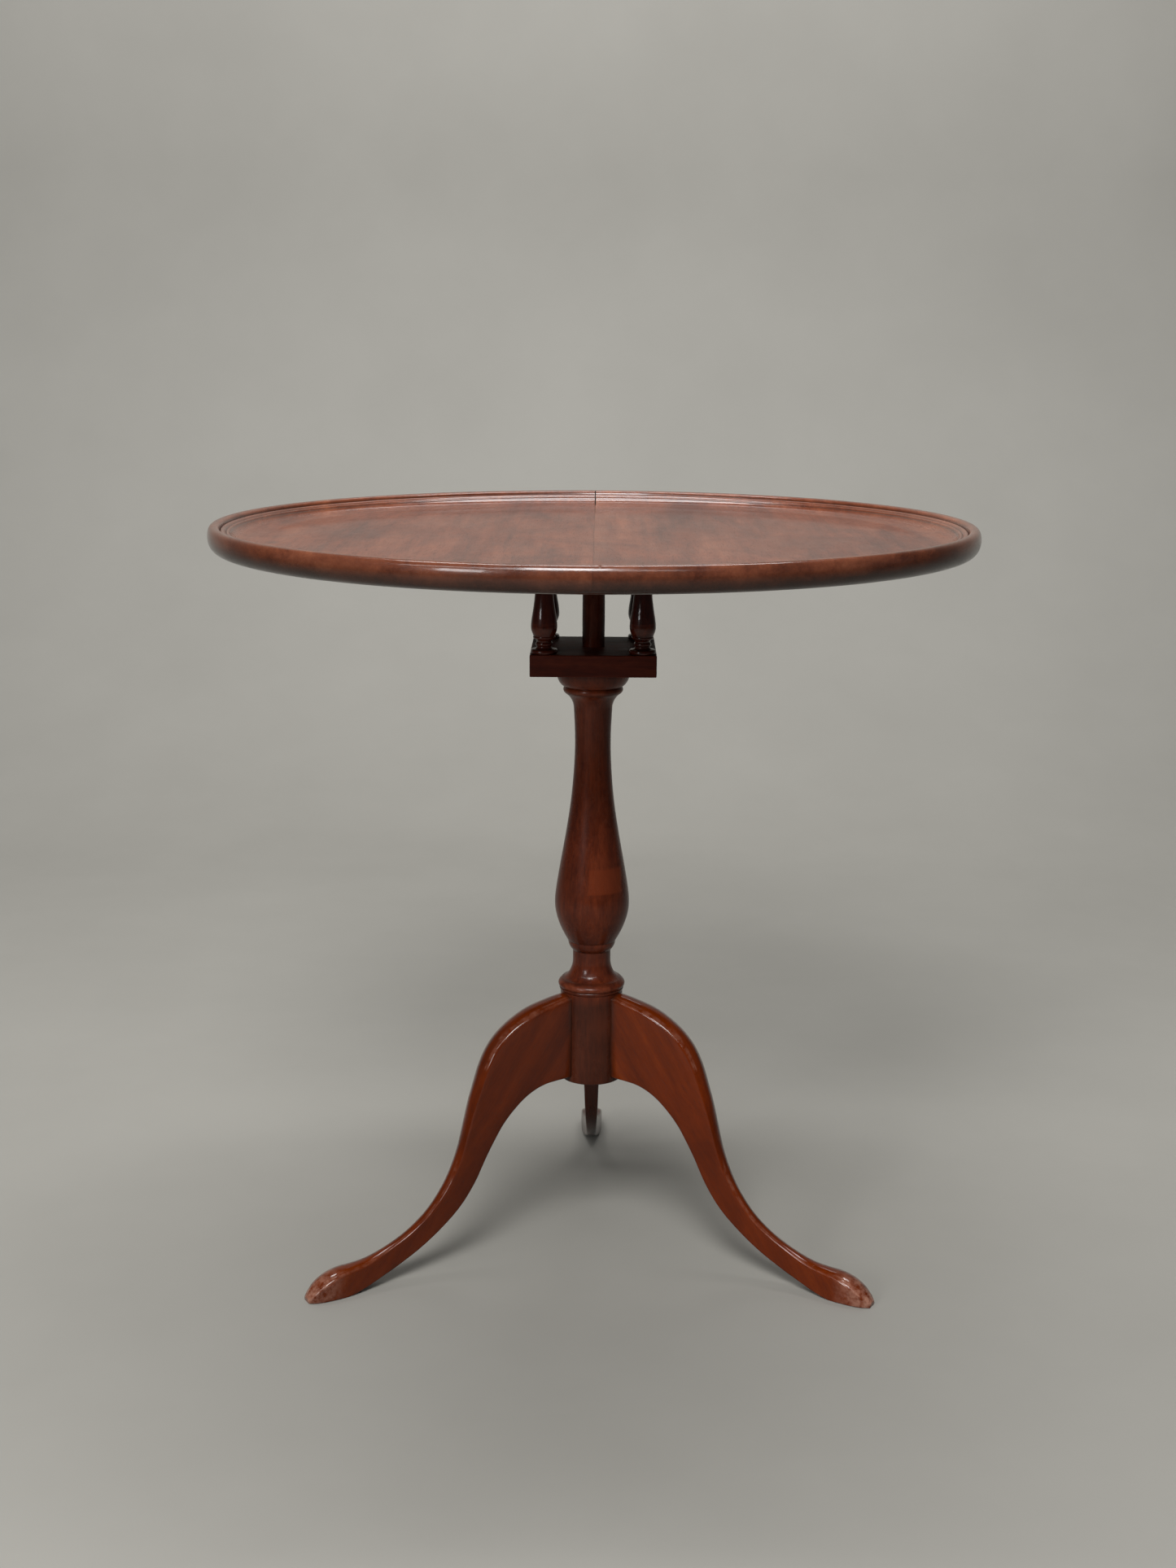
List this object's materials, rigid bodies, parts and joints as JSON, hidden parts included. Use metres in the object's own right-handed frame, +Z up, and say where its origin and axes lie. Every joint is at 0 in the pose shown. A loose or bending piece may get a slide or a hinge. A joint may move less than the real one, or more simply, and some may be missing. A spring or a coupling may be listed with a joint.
{
  "type": "tilt-top table",
  "caption": "Round tilt-top tea table: dished top on a birdcage that turns and tilts above a turned pillar with curved tripod legs.",
  "frame": {"origin": "on the floor, on the pillar's axis, under the centre of the top", "axes": "+Z up; +Y towards the rear leg; -Y is the front, between the two front legs; the top's boards and their glue line run along Y"},
  "size_m": [0.7112, 0.7112, 0.7167],
  "materials": {
    "top_wood": "satin varnish",
    "pillar_wood": "semi-gloss varnish",
    "leg_wood": "semi-gloss varnish",
    "cage_wood": "satin varnish",
    "cleat_wood": "matt, unpolished underside",
    "brass": "aged",
    "steel": "dull"
  },
  "bodies": {
    "base": {"pillar": "pillar_wood", "leg_left": "leg_wood", "leg_right": "leg_wood", "leg_rear": "leg_wood", "retaining_washer": "brass", "retaining_screw": "steel"},
    "cage": {"cage_lower_board": "cage_wood", "cage_upper_board": "cage_wood", "baluster_front_left": "cage_wood", "baluster_front_right": "cage_wood", "baluster_rear_left": "cage_wood", "baluster_rear_right": "cage_wood", "strike_plate": "brass", "strike_screw_1": "brass", "strike_screw_2": "brass"},
    "top": {"top_board_left": "top_wood", "top_board_right": "top_wood", "cleat_front": "cleat_wood", "cleat_rear": "cleat_wood", "cleat_screw_1": "steel", "cleat_screw_2": "steel", "cleat_screw_3": "steel", "cleat_screw_4": "steel", "cleat_screw_5": "steel", "cleat_screw_6": "steel", "cleat_screw_7": "steel", "cleat_screw_8": "steel", "catch_case": "brass", "catch_screw_1": "brass", "catch_screw_2": "brass", "catch_screw_3": "brass", "catch_screw_4": "brass"},
    "catch_bolt": {"catch_bolt": "brass", "catch_knob": "brass"}
  },
  "joints": [
    {"name": "cage_turn", "type": "hinge", "parent": "base", "child": "cage", "pos_m": [0, 0, 0.6], "axis": [0, 0, 1], "continuous": true},
    {"name": "top_tilt", "type": "hinge", "parent": "cage", "child": "top", "pos_m": [0.048, 0, 0.681], "axis": [0, 1, 0], "range_deg": [0, 90]},
    {"name": "catch_slide", "type": "slide", "parent": "top", "child": "catch_bolt", "axis": [1, 0, 0], "range_m": [0, 0.008]}
  ]
}
